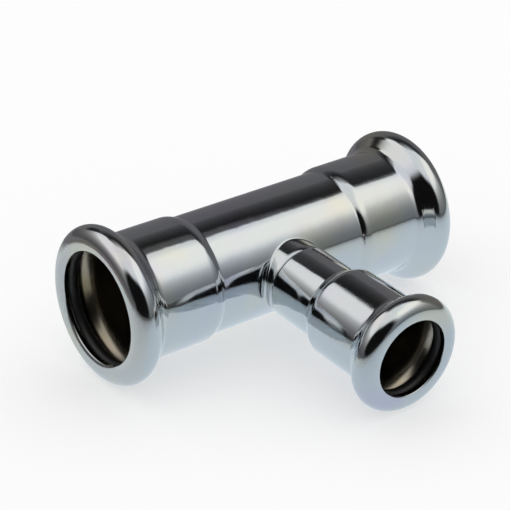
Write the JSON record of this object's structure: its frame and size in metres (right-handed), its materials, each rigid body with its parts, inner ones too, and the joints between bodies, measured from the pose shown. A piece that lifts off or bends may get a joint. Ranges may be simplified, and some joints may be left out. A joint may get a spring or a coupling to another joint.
{
  "type": "reducing tee",
  "caption": "Press-fit pipe tee: a straight run with a socket at each end and a narrower welded branch socket from its side, with a rolled bead and a rubber seal in each mouth.",
  "frame": {"origin": "where the centre-lines of the run and the branch cross", "axes": "+X along the run, -Y along the branch towards its mouth, +Z square to the plane of both"},
  "size_m": [0.0776, 0.0627, 0.0318],
  "materials": {
    "zinc_plated_steel": "polished",
    "weld_metal": "gloss",
    "seal_rubber": "satin"
  },
  "bodies": {
    "root": {"run_tube": "zinc_plated_steel", "branch_tube": "zinc_plated_steel", "weld_seam": "weld_metal", "left_seal": "seal_rubber", "right_seal": "seal_rubber", "branch_seal": "seal_rubber"}
  },
  "joints": []
}
